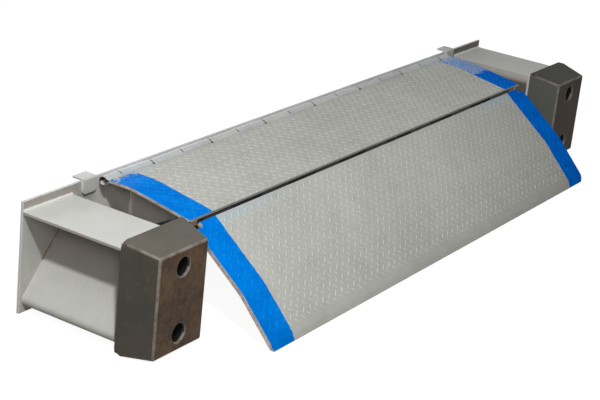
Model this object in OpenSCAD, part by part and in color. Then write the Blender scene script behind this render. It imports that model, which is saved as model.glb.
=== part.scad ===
// Edge-of-dock leveler: a hinged deck and lip between two bumper brackets on one back plate.
// X runs along the dock edge, -Y points to the truck, Z is up from the lowest edge.

/* [Back plate] */
// Length of the back plate beyond each side of the deck
wing_w = 281; // [260:1:340]
// Height of the back plate
plate_h = 305; // [285:1:340]
// Thickness of the back plate
plate_t = 8; // [6:0.5:14]

/* [Hanger tabs] */
// Width of a hanger tab
tab_w = 52; // [30:1:56]
// Thickness of a hanger tab
tab_t = 6; // [4:0.5:10]
// Reach of a tab over the dock floor, behind the back plate
tab_reach = 25; // [10:1:60]
// Depth of a tab's leg down the front of the back plate
tab_drop = 37; // [20:1:70]
// Space between the left tab and the side of the deck
left_tab_gap = 10; // [6:1:20]
// Space between the right tab and the bumper bracket
right_tab_gap = 6; // [4:1:20]
// Corner radius at the foot of a tab's leg
tab_corner_r = 10; // [2:0.5:14]

/* [Deck] */
// Width of the deck and lip
deck_w = 1828; // [1500:1:2200]
// Thickness of the deck plate
deck_t = 8; // [6:0.5:10]
// Depth of the deck surface below the top of the back plate
deck_set = 2; // [0:0.5:4]
// Length of the level part of the deck
deck_flat = 55; // [40:1:120]
// Length of the sloping part of the deck
deck_front = 172; // [140:1:200]
// Angle of the deck's fold
deck_fold = 9.5; // [4:0.5:14]
// Inside radius of the deck's fold
deck_fold_r = 240; // [60:5:320]

/* [Rear hinge] */
// Number of knuckles, odd so that both end ones belong to the deck
knuckle_n = 15; // [9:2:21]
// Length of the two end knuckles
end_knuckle_l = 62; // [50:1:90]
// Space between neighbouring knuckles
knuckle_gap = 3; // [2:0.5:6]
// Outside diameter of a rear knuckle
tube_d = 28; // [26:0.5:34]
// Diameter of the rear hinge pin
pin_d = 18; // [12:0.5:19]
// Rise of the rear knuckles above the back plate
tube_rise = 3; // [0:0.5:4]
// Room around the rear knuckles
tube_gap = 5; // [4:0.5:8]
// Thickness of the strap from a fixed knuckle to the back plate
strap_t = 11; // [6:0.5:14]

/* [Lip hinge] */
// Outside diameter of a lip knuckle
lip_tube_d = 18; // [17:0.5:22]
// Diameter of the lip hinge pin
lip_pin_d = 10; // [7:0.5:11]
// Room between the lip knuckles and the deck's underside
lip_tube_gap = 2.5; // [2:0.5:5]
// Distance of the lip hinge axis behind the deck's front edge
lip_axis_back = 9; // [9:0.5:14]
// Space between the deck and the lip when they lie in line
lip_gap = 3; // [3:0.5:6]
// Thickness of the leaves under the lip
leaf_t = 6.5; // [4:0.5:7]
// Length of the leaves under the lip
leaf_l = 40; // [25:1:80]
// Width of the toe on each end knuckle
toe_w = 26; // [15:1:40]
// Length of the toe in front of the deck's edge
toe_l = 6; // [3:0.5:8]
// Room between a toe and the lip
toe_gap = 5; // [4:0.5:10]

/* [Hinge pins] */
// Radial play of a pin in its knuckles
pin_play = 0.4; // [0.3:0.05:0.8]
// Depth of a pin's end inside the end knuckle
pin_recess = 25; // [5:1:40]

/* [Lip] */
// Thickness of the lip plate
lip_t = 12; // [8:0.5:13]
// Length of the lip from its rear edge to its fold
lip_rear = 198; // [160:1:230]
// Length of the lip from its fold to the bevel
lip_front = 127; // [90:1:160]
// Angle of the lip's fold
lip_fold = 9; // [2:0.5:14]
// Inside radius of the lip's fold
lip_fold_r = 200; // [60:5:300]
// Length of the bevel at the lip's nose
nose_l = 22; // [10:1:40]
// Thickness of the nose's edge
nose_t = 4; // [3:0.5:7]
// Corner cut at each end of the nose
nose_corner = 10; // [2:0.5:30]

/* [Deck supports] */
// Distance of a support from the side of the deck
support_inset = 151; // [80:1:600]
// Thickness of a support
support_t = 10; // [6:0.5:16]
// Reach of a support in front of the back plate
support_reach = 185; // [165:1:210]
// Height of a support's foot on the back plate
support_foot = 110; // [60:1:150]
// Height of a support's front edge
support_front = 70; // [40:1:90]
// Room between a support and the deck's underside
seat_gap = 0.3; // [0.3:0.1:1]

/* [Bumper brackets] */
// Thickness of a bracket
bracket_t = 8; // [6:0.5:12]
// Width of the bracket's flanges
flange_w = 197; // [150:1:215]
// Inside radius of the bracket's folds
bracket_r = 10; // [4:0.5:16]
// Distance of the bracket's lower fold from the end of the back plate
foot_inset = 9; // [0:0.5:30]
// Depth of a bracket in front of the back plate
bracket_depth = 312; // [280:1:340]
// Depth of the bracket's top below the top of the back plate
bracket_set = 26; // [15:1:40]
// Height of the bracket's lower flange above the floor
bracket_foot = 18; // [8:1:40]
// Thickness of the plate that carries the bumper
bumper_plate_t = 8; // [6:0.5:12]
// Height of that plate beyond the bracket, above and below
bumper_plate_rise = 14; // [4:1:16]

/* [Bumpers] */
// Width of a bumper at its base
bumper_w = 242; // [220:1:250]
// Distance a bumper stands out beyond the end of the back plate
bumper_over = 11; // [0:1:20]
// Projection of a bumper
bumper_depth = 101; // [90:1:130]
// Taper of a bumper on each side
bumper_side_taper = 26; // [5:0.5:30]
// Taper of a bumper at its top
bumper_top_taper = 22; // [5:0.5:28]
// Taper of a bumper at its foot
bumper_foot_taper = 10; // [5:0.5:25]
// Depth of a bumper's top below the top of the back plate
bumper_set = 3; // [0:0.5:12]
// Corner radius of a bumper at its base, on the outer side
bumper_r = 24; // [12:0.5:36]
// Corner radius of a bumper at its base, on the side towards the deck
bumper_inner_r = 9; // [6:0.5:30]
// Depth of the base over which its corners sharpen
bumper_shoulder = 14; // [12:1:40]
// Corner radius of a bumper in front of that
bumper_front_r = 6; // [4:0.5:20]
// Chamfer of the bumper's front edge
bumper_edge = 3; // [1:0.5:3.5]
// Diameter of a bolt pocket in the bumper
pocket_d = 52; // [48:0.5:60]
// Depth of a bolt pocket
pocket_depth = 62; // [30:1:70]
// Distance between the two bolts
bolt_pitch = 176; // [140:1:190]
// Diameter of a bolt
bolt_d = 20; // [16:0.5:22]
// Play of a bolt in its hole, on the radius
bolt_play = 0.8; // [0.4:0.1:1.5]
// Diameter of a bolt's washer
washer_d = 44; // [36:0.5:46]
// Thickness of a bolt's washer
washer_t = 4; // [2:0.5:6]
// Width across the corners of a bolt's head and nut
hex_d = 34; // [30:0.5:36]
// Height of a bolt's head
head_h = 13; // [10:0.5:16]
// Height of a bolt's nut
nut_h = 16; // [12:0.5:20]
// Length of thread beyond the nut
thread_end = 6; // [2:0.5:12]

/* [Hidden] */
$fn = 64;
tiny = 0.01;
fold_steps = 6;
fold_step_a = 12;
paint = [0.70, 0.71, 0.68];
bright_paint = [0.78, 0.79, 0.77];
rubber = [0.33, 0.29, 0.25];
zinc = [0.62, 0.62, 0.60];

// Back plate and hinge axis
plate_l = deck_w + 2 * wing_w;
face_y = -plate_t;
hinge_y = face_y - tube_gap - tube_d / 2;
hinge_z = plate_h + tube_rise - tube_d / 2;
tube_bore = pin_d + 2 * pin_play;
lip_bore = lip_pin_d + 2 * pin_play;
pin_l = deck_w - 2 * pin_recess;
knuckle_pitch = (deck_w - 2 * end_knuckle_l) / (knuckle_n - 2);

// Deck section, measured from the hinge axis: u to the truck, v up
deck_edge = tube_d / 2 + tube_gap;
deck_v = plate_h - deck_set - hinge_z;
deck_round = deck_fold_r + deck_t;
deck_end_u = deck_edge + deck_flat + deck_round * sin(deck_fold) + deck_front * cos(deck_fold);
deck_end_v = deck_v - deck_round * (1 - cos(deck_fold)) - deck_front * sin(deck_fold);

// Lip hinge axis, under the deck's front edge
lip_axis_drop = deck_t + lip_tube_gap + lip_tube_d / 2;
lip_axis_u = deck_end_u - lip_axis_back * cos(deck_fold) - lip_axis_drop * sin(deck_fold);
lip_axis_v = deck_end_v + lip_axis_back * sin(deck_fold) - lip_axis_drop * cos(deck_fold);
lip_y = hinge_y - lip_axis_u;
lip_z = hinge_z + lip_axis_v;

// Lip section, measured from the lip hinge axis
lip_edge = lip_axis_back + lip_gap;
lip_under = lip_axis_drop - lip_t;
lip_round = lip_fold_r + lip_t;
lip_tail = lip_front + nose_l;
nose_u = lip_edge + lip_rear + lip_round * sin(lip_fold) + lip_tail * cos(lip_fold) - lip_t * sin(lip_fold);
nose_v = lip_axis_drop - lip_round * (1 - cos(lip_fold)) - lip_tail * sin(lip_fold) - lip_t * cos(lip_fold);
// Slope at which the nose just rests on the floor
lip_tilt = atan2(nose_v, nose_u) + asin(lip_z / norm([nose_u, nose_v]));

// Toe of the end knuckles and the lip's notch that clears it
toe_set = 2;
toe_u = lip_axis_back + toe_l;
toe_v = lip_axis_drop - toe_set;
notch_round = norm([toe_u, toe_v]) + toe_gap;
notch_u = sqrt(pow(notch_round, 2) - pow(lip_under, 2));
notch_w = toe_w + toe_gap;

// Hanger tabs and deck supports
left_tab_x = -deck_w / 2 - left_tab_gap - tab_w / 2;
right_tab_x = plate_l / 2 - flange_w - right_tab_gap - tab_w / 2;
support_x = deck_w / 2 - support_inset;
seat_z = plate_h - deck_set - deck_t - seat_gap;
seat_start = 2 * tube_gap + tube_d;
seat_end = tube_gap + tube_d / 2 + deck_edge + deck_flat - tube_gap;
notch_z = hinge_z - tube_d / 2 - tube_gap;
support_drop = (support_reach - seat_end) * tan(deck_fold);

// Bumper brackets and bumpers
bracket_round = bracket_r + bracket_t;
bracket_h = plate_h - bracket_set - bracket_foot;
flange_run = flange_w - bracket_round;
foot_run = flange_run - foot_inset;
// The web runs straight from the upper fold's round to the lower one's
fold_span = [flange_run - foot_inset - bracket_round, bracket_h - 2 * bracket_round];
fold_offset = bracket_r + bracket_round;
web_run = sqrt(pow(norm(fold_span), 2) - pow(fold_offset, 2));
bracket_fold = 90 + atan2(fold_span.x, fold_span.y) + asin(fold_offset / norm(fold_span));
carrier_y = face_y - bracket_depth;
bumper_y = carrier_y - bumper_plate_t;
bumper_x = plate_l / 2 + bumper_over - bumper_w / 2;
shoulder_part = bumper_shoulder / bumper_depth;
bumper_h = plate_h - bumper_set;
bolt_hole = bolt_d + 2 * bolt_play;
bumper_front_y = bumper_y - bumper_depth;
pocket_floor = bumper_front_y + pocket_depth;
bolt_mid = (bumper_h - bumper_top_taper + bumper_foot_taper) / 2;
bolt_z = [bolt_mid - bolt_pitch / 2, bolt_mid + bolt_pitch / 2];

// First and last X of a knuckle, counted from the left
function knuckle_start(i) =
  -deck_w / 2 + (i == 0 ? 0 : end_knuckle_l + (i - 1) * knuckle_pitch + knuckle_gap / 2);
function knuckle_stop(i) =
  -deck_w / 2 + (i == knuckle_n - 1 ? deck_w : end_knuckle_l + i * knuckle_pitch - knuckle_gap / 2);

// Extrudes a section along X: its first axis points to the truck and its second up
module across(from, to) {
  translate([to, 0, 0]) rotate([90, 0, -90]) linear_extrude(to - from) children();
}

// Unit vectors along a heading and to its upper side
function ahead(h) = [cos(h), sin(h)];
function above(h) = [-sin(h), cos(h)];

// Points along one face of a folded plate: straight runs joined by round folds.
// depth is 0 on the top face and t on the other, and a positive fold turns down.
function face_points(runs, folds, t, r, depth, i = 0, start = [0, 0], h = 0) =
  let (
    stop = start + runs[i] * ahead(h),
    edge = [start - depth * above(h), stop - depth * above(h)]
  )
  i == len(folds) ? edge : let (
    side = folds[i] > 0 ? 1 : -1,
    top_r = side > 0 ? r + t : r,
    face_r = top_r - side * depth,
    centre = stop - side * top_r * above(h),
    steps = fold_steps + ceil(abs(folds[i]) / fold_step_a),
    arc = [for (k = [1:steps - 1]) centre + side * face_r * above(h - folds[i] * k / steps)],
    next = centre + side * top_r * above(h - folds[i])
  )
  concat(edge, arc, face_points(runs, folds, t, r, depth, i + 1, next, h - folds[i]));

// Section of a folded plate with its top face starting along the first axis
module folded_section(runs, folds, t, r) {
  top = face_points(runs, folds, t, r, 0);
  under = face_points(runs, folds, t, r, t);
  outline = concat(top, [for (k = [1:len(under)]) under[len(under) - k]]);
  polygon([for (k = [0:len(outline) - 1]) if (k == 0 || norm(outline[k] - outline[k - 1]) > tiny) outline[k]]);
}

// Tube of one knuckle with its leaf or strap as the child section, bored for the pin
module knuckle(i, d, bore) {
  difference() {
    across(knuckle_start(i), knuckle_stop(i)) {
      circle(d = d);
      children();
    }
    across(knuckle_start(i) - tiny, knuckle_stop(i) + tiny) circle(d = bore);
  }
}

// Places a section at the rear hinge axis
module at_rear_hinge() {
  translate([0, hinge_y, hinge_z]) children();
}

// Places a section at the lip hinge axis
module at_lip_hinge() {
  translate([0, lip_y, lip_z]) children();
}

module back_plate() {
  color(paint) translate([-plate_l / 2, face_y, 0]) cube([plate_l, plate_t, plate_h]);
}

// Bent tab that hooks over the dock edge, with a rounded foot
module hanger_tab(x) {
  color(bright_paint) translate([x, tab_reach, plate_h]) intersection() {
    translate([0, 0, tab_t]) across(-tab_w / 2, tab_w / 2)
      folded_section([tab_reach + plate_t, tab_drop], [90], tab_t, 0);
    rotate([90, 0, 0]) translate([0, 0, -tiny]) linear_extrude(tab_reach + plate_t + tab_t + 2 * tiny) {
      translate([-tab_w / 2, tab_corner_r - tab_drop]) square([tab_w, tab_drop + tab_t]);
      translate([tab_corner_r - tab_w / 2, -tab_drop]) square([tab_w - 2 * tab_corner_r, tab_drop]);
      for (side = [-1, 1])
        translate([side * (tab_w / 2 - tab_corner_r), tab_corner_r - tab_drop]) circle(tab_corner_r);
    }
  }
}

module left_hanger_tab() {
  hanger_tab(left_tab_x);
}

module right_hanger_tab() {
  hanger_tab(right_tab_x);
}

// Every second knuckle is strapped to the back plate
module fixed_rear_knuckles() {
  color(bright_paint) at_rear_hinge() for (i = [1:2:knuckle_n - 2])
    knuckle(i, tube_d, tube_bore)
      translate([-deck_edge, -strap_t / 2]) square([deck_edge, strap_t]);
}

module rear_hinge_pin() {
  color(zinc) at_rear_hinge() across(-pin_l / 2, pin_l / 2) circle(d = pin_d);
}

// Gusset whose level top carries the deck, cut away under the hinge
module deck_support(side) {
  color(paint) translate([side * support_x, face_y, 0]) across(-support_t / 2, support_t / 2)
    polygon([
      [0, support_foot],
      [support_reach, seat_z - support_drop - support_front],
      [support_reach, seat_z - support_drop],
      [seat_end, seat_z],
      [seat_start, seat_z],
      [seat_start, notch_z],
      [0, notch_z]
    ]);
}

module left_deck_support() {
  deck_support(-1);
}

module right_deck_support() {
  deck_support(1);
}

// Plate folded to a Z: top flange, slanting web and lower flange, open to the outside
module bumper_bracket() {
  color(bright_paint) translate([-plate_l / 2, face_y, plate_h - bracket_set])
    rotate([90, 0, 0]) linear_extrude(bracket_depth)
      folded_section([flange_run, web_run, foot_run], [bracket_fold, -bracket_fold], bracket_t, bracket_r);
}

module left_bumper_bracket() {
  bumper_bracket();
}

module right_bumper_bracket() {
  mirror([1, 0, 0]) bumper_bracket();
}

// Upright plate on the bracket's front, drilled for the bumper's bolts
module bumper_plate() {
  color(bright_paint) difference() {
    translate([bumper_x - bumper_w / 2, bumper_y, bracket_foot - bumper_plate_rise])
      cube([bumper_w - bumper_over, bumper_plate_t, bracket_h + 2 * bumper_plate_rise]);
    for (z = bolt_z)
      translate([bumper_x, carrier_y + tiny, z]) rotate([90, 0, 0])
        cylinder(d = bolt_hole, h = bumper_plate_t + 2 * tiny);
  }
}

module left_bumper_plate() {
  mirror([1, 0, 0]) bumper_plate();
}

module right_bumper_plate() {
  bumper_plate();
}

// Upright slab with rounded corners: its sides, top and foot are taken in as far as stated
module bumper_slab(side_in, top_in, foot_in, inner_r, outer_r, y, depth) {
  for (corner = [[-1, inner_r], [1, outer_r]])
    for (z = [foot_in + corner[1], bumper_h - top_in - corner[1]])
      translate([corner[0] * (bumper_w / 2 - side_in - corner[1]), y, z])
        rotate([90, 0, 0]) cylinder(r = corner[1], h = depth, $fn = 32);
}

// Outline of a bumper in front of its rounded base: part of the taper, taken in by the chamfer or not
module bumper_front(part, in, y, depth) {
  taper = part * [bumper_side_taper, bumper_top_taper, bumper_foot_taper] + [in, in, in];
  r = bumper_front_r - in;
  bumper_slab(taper[0], taper[1], taper[2], r, r, y, depth);
}

// Moulded block, tapered on all sides, with two bolt pockets
module bumper() {
  color(rubber) translate([bumper_x, 0, 0]) difference() {
    hull() {
      bumper_slab(0, 0, 0, bumper_inner_r, bumper_r, bumper_y, bumper_edge);
      bumper_front(shoulder_part, 0, bumper_y - bumper_shoulder, tiny);
      bumper_front(1, 0, bumper_front_y + 2 * bumper_edge, bumper_edge);
      bumper_front(1, bumper_edge, bumper_front_y + tiny, tiny);
    }
    for (z = bolt_z) {
      translate([0, pocket_floor, z]) rotate([90, 0, 0]) cylinder(d = pocket_d, h = pocket_depth + tiny);
      translate([0, bumper_y + tiny, z]) rotate([90, 0, 0]) cylinder(d = bolt_hole, h = bumper_depth);
    }
  }
}

module left_bumper() {
  mirror([1, 0, 0]) bumper();
}

module right_bumper() {
  bumper();
}

// Two bolts that hold a bumper, each with its washer and nut
module bumper_bolts(side) {
  grip = carrier_y - pocket_floor;
  color(zinc) for (z = bolt_z)
    translate([side * bumper_x, pocket_floor, z]) rotate([90, 0, 0]) {
      cylinder(d = washer_d, h = washer_t);
      cylinder(d = hex_d, h = washer_t + head_h, $fn = 6);
      translate([0, 0, -grip - nut_h - thread_end]) cylinder(d = bolt_d, h = grip + nut_h + thread_end + tiny);
      translate([0, 0, -grip - nut_h]) cylinder(d = hex_d, h = nut_h, $fn = 6);
    }
}

module left_bumper_bolts() {
  bumper_bolts(-1);
}

module right_bumper_bolts() {
  bumper_bolts(1);
}

module deck_plate() {
  color(paint) at_rear_hinge() across(-deck_w / 2, deck_w / 2)
    translate([deck_edge, deck_v])
      folded_section([deck_flat, deck_front], [deck_fold], deck_t, deck_fold_r);
}

// The other knuckles carry the deck's rear edge on a leaf as thick as the deck
module moving_rear_knuckles() {
  color(bright_paint) at_rear_hinge() for (i = [0:2:knuckle_n - 1])
    knuckle(i, tube_d, tube_bore)
      translate([0, deck_v - deck_t]) square([deck_edge, deck_t]);
}

// Deck half of the lip hinge: saddled tubes, and a toe at each end that closes the deck's corner
module deck_front_knuckles() {
  saddle_w = lip_tube_d - 4;
  saddle_h = lip_axis_drop - deck_t;
  color(paint) at_lip_hinge() rotate([deck_fold, 0, 0]) {
    for (i = [0:2:knuckle_n - 1])
      knuckle(i, lip_tube_d, lip_bore)
        translate([-saddle_w / 2, 0]) square([saddle_w, saddle_h]);
    for (side = [-1, 1])
      translate([side * (deck_w - toe_w) / 2, 0, 0]) across(-toe_w / 2, toe_w / 2)
        polygon([
          [saddle_w / 2, 0],
          [toe_u, 0],
          [toe_u, toe_v],
          [lip_axis_back, toe_v],
          [lip_axis_back, saddle_h],
          [saddle_w / 2, saddle_h]
        ]);
  }
}

module lip_hinge_pin() {
  color(zinc) at_lip_hinge() across(-pin_l / 2, pin_l / 2) circle(d = lip_pin_d);
}

// Wedge above the bevel at the end of the lip
module nose_bevel() {
  translate([lip_edge + lip_rear + lip_round * sin(lip_fold), lip_axis_drop - lip_round * (1 - cos(lip_fold))])
    rotate(-lip_fold) translate([lip_tail, 0])
      polygon([[-nose_l, 0], [nose_l, 2 * (nose_t - lip_t)], [nose_l, lip_t], [-nose_l, lip_t]]);
}

module lip_plate() {
  color(paint) at_lip_hinge() rotate([lip_tilt, 0, 0]) difference() {
    across(-deck_w / 2, deck_w / 2) difference() {
      translate([lip_edge, lip_axis_drop]) folded_section([lip_rear, lip_tail], [lip_fold], lip_t, lip_fold_r);
      nose_bevel();
    }
    for (side = [-1, 1]) {
      translate([side * deck_w / 2, 0, 0]) across(-notch_w, notch_w)
        translate([0, lip_under - tiny]) square([notch_u, lip_t + 2 * tiny]);
      translate([side * deck_w / 2, -nose_u, nose_v]) rotate([0, 0, 45])
        cube([nose_corner * sqrt(2), nose_corner * sqrt(2), 8 * lip_t], center = true);
    }
  }
}

// Lip half of the lip hinge: tubes with leaves under the lip plate
module lip_knuckles() {
  color(paint) at_lip_hinge() rotate([lip_tilt, 0, 0]) for (i = [1:2:knuckle_n - 2])
    knuckle(i, lip_tube_d, lip_bore)
      translate([0, lip_under - leaf_t]) square([lip_edge + leaf_l, leaf_t]);
}

back_plate();
left_hanger_tab();
right_hanger_tab();
fixed_rear_knuckles();
rear_hinge_pin();
left_deck_support();
right_deck_support();
left_bumper_bracket();
right_bumper_bracket();
left_bumper_plate();
right_bumper_plate();
left_bumper();
right_bumper();
left_bumper_bolts();
right_bumper_bolts();
deck_plate();
moving_rear_knuckles();
deck_front_knuckles();
lip_hinge_pin();
lip_plate();
lip_knuckles();
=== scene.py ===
import math
import random

import bpy
import numpy as np
from mathutils import Matrix, Vector


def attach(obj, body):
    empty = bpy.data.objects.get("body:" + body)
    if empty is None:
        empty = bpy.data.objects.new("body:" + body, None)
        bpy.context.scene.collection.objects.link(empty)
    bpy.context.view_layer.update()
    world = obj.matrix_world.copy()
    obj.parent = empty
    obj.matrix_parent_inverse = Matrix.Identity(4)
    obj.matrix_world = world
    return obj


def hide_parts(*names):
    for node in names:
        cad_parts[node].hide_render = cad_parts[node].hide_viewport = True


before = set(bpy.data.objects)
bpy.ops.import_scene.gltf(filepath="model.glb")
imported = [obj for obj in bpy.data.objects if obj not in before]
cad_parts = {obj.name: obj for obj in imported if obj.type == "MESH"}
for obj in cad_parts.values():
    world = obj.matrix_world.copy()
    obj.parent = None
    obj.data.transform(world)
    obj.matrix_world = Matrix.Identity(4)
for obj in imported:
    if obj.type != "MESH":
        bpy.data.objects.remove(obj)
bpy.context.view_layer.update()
dice = random.Random(41)
print("frame loaded:", len(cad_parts), "solids")


# selecting and editing

def pick(piece):
    bpy.ops.object.select_all(action="DESELECT")
    piece.select_set(True)
    bpy.context.view_layer.objects.active = piece
    return piece


def justAdded(name):  # names the new primitive and puts its place into its mesh
    piece = bpy.context.active_object
    piece.name = piece.data.name = name
    pick(piece)
    bpy.ops.object.transform_apply(location=True, rotation=True, scale=True)
    return piece


def editAll(piece):
    pick(piece)
    bpy.ops.object.mode_set(mode="EDIT")
    bpy.ops.mesh.select_all(action="SELECT")


def clearChoice(piece, kind):  # nothing selected any more, back in object mode
    pick(piece)
    bpy.ops.object.mode_set(mode="EDIT")
    bpy.ops.mesh.select_mode(type=kind)
    bpy.ops.mesh.select_all(action="DESELECT")
    bpy.ops.object.mode_set(mode="OBJECT")


def chooseFaces(piece, test):
    clearChoice(piece, "FACE")
    for face in piece.data.polygons:
        face.select = test(face)
    bpy.ops.object.mode_set(mode="EDIT")


def chooseEdges(piece, test):
    clearChoice(piece, "EDGE")
    points = piece.data.vertices
    for edge in piece.data.edges:
        edge.select = test(points[edge.vertices[0]].co, points[edge.vertices[1]].co)
    bpy.ops.object.mode_set(mode="EDIT")


def chooseCorners(piece, test):
    clearChoice(piece, "VERT")
    for point in piece.data.vertices:
        point.select = test(point.co)
    bpy.ops.object.mode_set(mode="EDIT")


def doneEditing():
    bpy.ops.object.mode_set(mode="OBJECT")


def copySolid(nodeName, pieceName):
    piece = bpy.data.objects.new(pieceName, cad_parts[nodeName].data.copy())
    piece.data.name = pieceName
    bpy.context.collection.objects.link(piece)
    piece.data.materials.clear()
    pick(piece)
    bpy.ops.mesh.customdata_custom_splitnormals_clear()
    editAll(piece)
    bpy.ops.mesh.remove_doubles(threshold=0.00001)
    bpy.ops.mesh.dissolve_limited(angle_limit=math.radians(0.4))
    doneEditing()
    return piece


def paintWith(piece, *finishes):
    piece.data.materials.clear()
    for finish in finishes:
        piece.data.materials.append(finish)


def smoothBy(piece, angle):
    pick(piece)
    bpy.ops.object.shade_smooth_by_angle(angle=math.radians(angle))


def softenEdges(piece, width, steps=2, angle=35, edgeSlot=-1):
    smoothBy(piece, angle)
    bpy.ops.object.modifier_add(type="BEVEL")
    bevel = piece.modifiers[-1]
    bevel.width = width
    bevel.segments = steps
    bevel.limit_method = "ANGLE"
    bevel.angle_limit = math.radians(angle)
    bevel.use_clamp_overlap = False
    bevel.harden_normals = True  # flat faces stay flat
    bevel.material = edgeSlot
    bpy.ops.object.modifier_apply(modifier=bevel.name)


def settle(piece, body, slotName, *nodes):
    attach(piece, body)
    if nodes:
        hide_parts(*nodes)


def joinAll(pieces, name):
    pick(pieces[0])
    for piece in pieces[1:]:
        piece.select_set(True)
    bpy.ops.object.join()
    joined = bpy.context.active_object
    joined.name = joined.data.name = name
    return joined


# shader maths

def tone(red, green, blue):  # screen colour to the shader's linear one
    def straight(value):
        value /= 255
        return value / 12.92 if value <= 0.04045 else ((value + 0.055) / 1.055) ** 2.4
    return (straight(red), straight(green), straight(blue), 1.0)


class Wire:
    def __init__(self, bench, socket):
        self.bench = bench
        self.socket = socket

    def pair(self, operation, first, second):
        return self.bench.node("ShaderNodeMath", {"operation": operation}, {0: first, 1: second})

    def __add__(self, other):
        return self.pair("ADD", self, other)

    def __radd__(self, other):
        return self.pair("ADD", other, self)

    def __sub__(self, other):
        return self.pair("SUBTRACT", self, other)

    def __rsub__(self, other):
        return self.pair("SUBTRACT", other, self)

    def __mul__(self, other):
        return self.pair("MULTIPLY", self, other)

    def __rmul__(self, other):
        return self.pair("MULTIPLY", other, self)

    def __abs__(self):
        return self.pair("ABSOLUTE", self, 0.0)


class Bench:
    def __init__(self, tree):
        self.tree = tree

    def node(self, kind, settings=None, inputs=None, out=0):
        made = self.tree.nodes.new(kind)
        for key, value in (settings or {}).items():
            setattr(made, key, value)
        for key, value in (inputs or {}).items():
            if isinstance(value, Wire):
                self.tree.links.new(value.socket, made.inputs[key])
            else:
                made.inputs[key].default_value = value
        return Wire(self, made.outputs[out])

    def mix(self, factor, first, second, blend="MIX"):
        return self.node("ShaderNodeMix", {"data_type": "RGBA", "blend_type": blend},
                         {0: factor, 6: first, 7: second}, 2)

    def shade(self, factor, colour, by):  # darkens, and keeps the pattern
        return self.mix(factor, colour, by, "MULTIPLY")

    def ramp(self, value, low, high):  # smooth step from 0 at low to 1 at high
        return self.node("ShaderNodeMapRange", {"interpolation_type": "SMOOTHSTEP"},
                         {"Value": value, "From Min": low, "From Max": high})

    def larger(self, first, second):
        return self.node("ShaderNodeMath", {"operation": "MAXIMUM"}, {0: first, 1: second})


class Finish(Bench):
    def __init__(self, name):
        self.material = bpy.data.materials.new(name)
        self.material.use_nodes = True
        super().__init__(self.material.node_tree)
        self.shader = self.tree.nodes["Principled BSDF"]
        self.place = self.node("ShaderNodeTexCoord", out="Object")
        self.facing = self.node("ShaderNodeTexCoord", out="Normal")

    def axis(self, wire, name):
        return self.node("ShaderNodeSeparateXYZ", {}, {0: wire}, name)

    def noise(self, scale, detail=4.0, rough=0.55, stretch=(1, 1, 1), shift=(0, 0, 0)):
        spot = self.node("ShaderNodeMapping", {}, {"Vector": self.place, "Location": shift, "Scale": stretch})
        return self.node("ShaderNodeTexNoise", {},
                         {"Vector": spot, "Scale": scale, "Detail": detail, "Roughness": rough})

    def finish(self, colour, rough, height, lift, metal=0.0, shine=0.5):
        bump = self.node("ShaderNodeBump", {}, {"Strength": 1.0, "Distance": lift, "Height": height})
        values = {"Base Color": colour, "Roughness": rough, "Normal": bump, "Metallic": metal}
        for key, value in values.items():
            if isinstance(value, Wire):
                self.tree.links.new(value.socket, self.shader.inputs[key])
            else:
                self.shader.inputs[key].default_value = value
        self.shader.inputs["Specular IOR Level"].default_value = shine
        return self.material


# paint: two close greys, rubbed-in dirt, drag marks, chips to the steel
# ends is the tone beyond the deck; a look may also hold the two heights of a painted shade that darkens the
# paint above them, and the start, end and grey of a painted shade that darkens it to the right, for the light
# falling off

wearAndShadeLook = {"dirt": (128, 120, 108), "paintedShade": (228, 222, 220), "steelDark": (120, 98, 80),
            "steelLight": (150, 136, 124), "endsFrom": 0.87, "endsTo": 0.96}
# painted light: a lighter grey for the back plate's face in the shade under the deck, fading to the darker
# ends tone beyond the deck
shadeLiftPaintLook = {"light": (224, 222, 219), "dark": (210, 208, 204), "dirt": 0.2, "chips": 0.10,
                  "ends": (172, 174, 169)}
# painted light: the deck supports stand in shade under the deck and get a lighter grey
supportPaintLook = {"light": (212, 208, 204), "dark": (198, 194, 190), "dirt": 0.2, "chips": 0.10}
framePaintLook = {"light": (202, 204, 199), "dark": (188, 190, 185), "dirt": 0.22, "chips": 0.10}
# painted shade, with dust: darker greys inside the brackets and on the back plate behind them
insidePaintLook = {"light": (193, 195, 190), "dark": (178, 179, 174), "dirt": 0.3, "chips": 0.10,
                   "paintedShade": (0.10, 0.19)}
bayPaintLook = {"light": (190, 190, 185), "dark": (174, 173, 168), "dirt": 0.35, "chips": 0.10,
                "paintedShade": (0.272, 0.290), "paintedFalloff": (0.2, 0.9, 182)}
frameEdgeLook = {"light": (216, 216, 211), "dark": (186, 183, 176), "dirt": 0.3, "chips": 0.42}
hingeStripe = {"inner": 0.90, "cover": 0.0, "wear": 0.0, "wearLine": 0.0, "spray": 0.2, "drift": 0.4,
               "driftLine": -0.1, "lugs": False}
deckStripe = {"inner": 0.816, "cover": 1.0, "wear": 1.0, "wearLine": -0.19, "spray": 0.12, "drift": 0.2,
              "driftLine": -0.06, "lugs": False}
lipStripe = {"inner": 0.816, "cover": 1.0, "wear": 0.0, "wearLine": 0.0, "spray": 0.34, "drift": 0.45,
             "driftLine": -0.328, "lugs": False}
stripeLook = {"left": ((0, 119, 216), (0, 131, 230)), "right": ((0, 102, 206), (0, 114, 222)),
              "thin": (90, 170, 240), "rubbedAndLit": (120, 200, 255), "mist": (150, 205, 240),
              "rearEnd": (-0.052, -0.060)}
hingePaintLook = {"light": (202, 205, 205), "dark": (182, 185, 185), "dirt": 0.28, "chips": 0.16,
                  "stripe": hingeStripe}
deckPaintLook = {"light": (194, 196, 190), "dark": (178, 180, 173), "dirt": 0.28, "chips": 0.13,
                 "shine": 0.004, "stripe": deckStripe}
deckEdgeLook = dict(deckPaintLook, chips=0.3)
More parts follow.
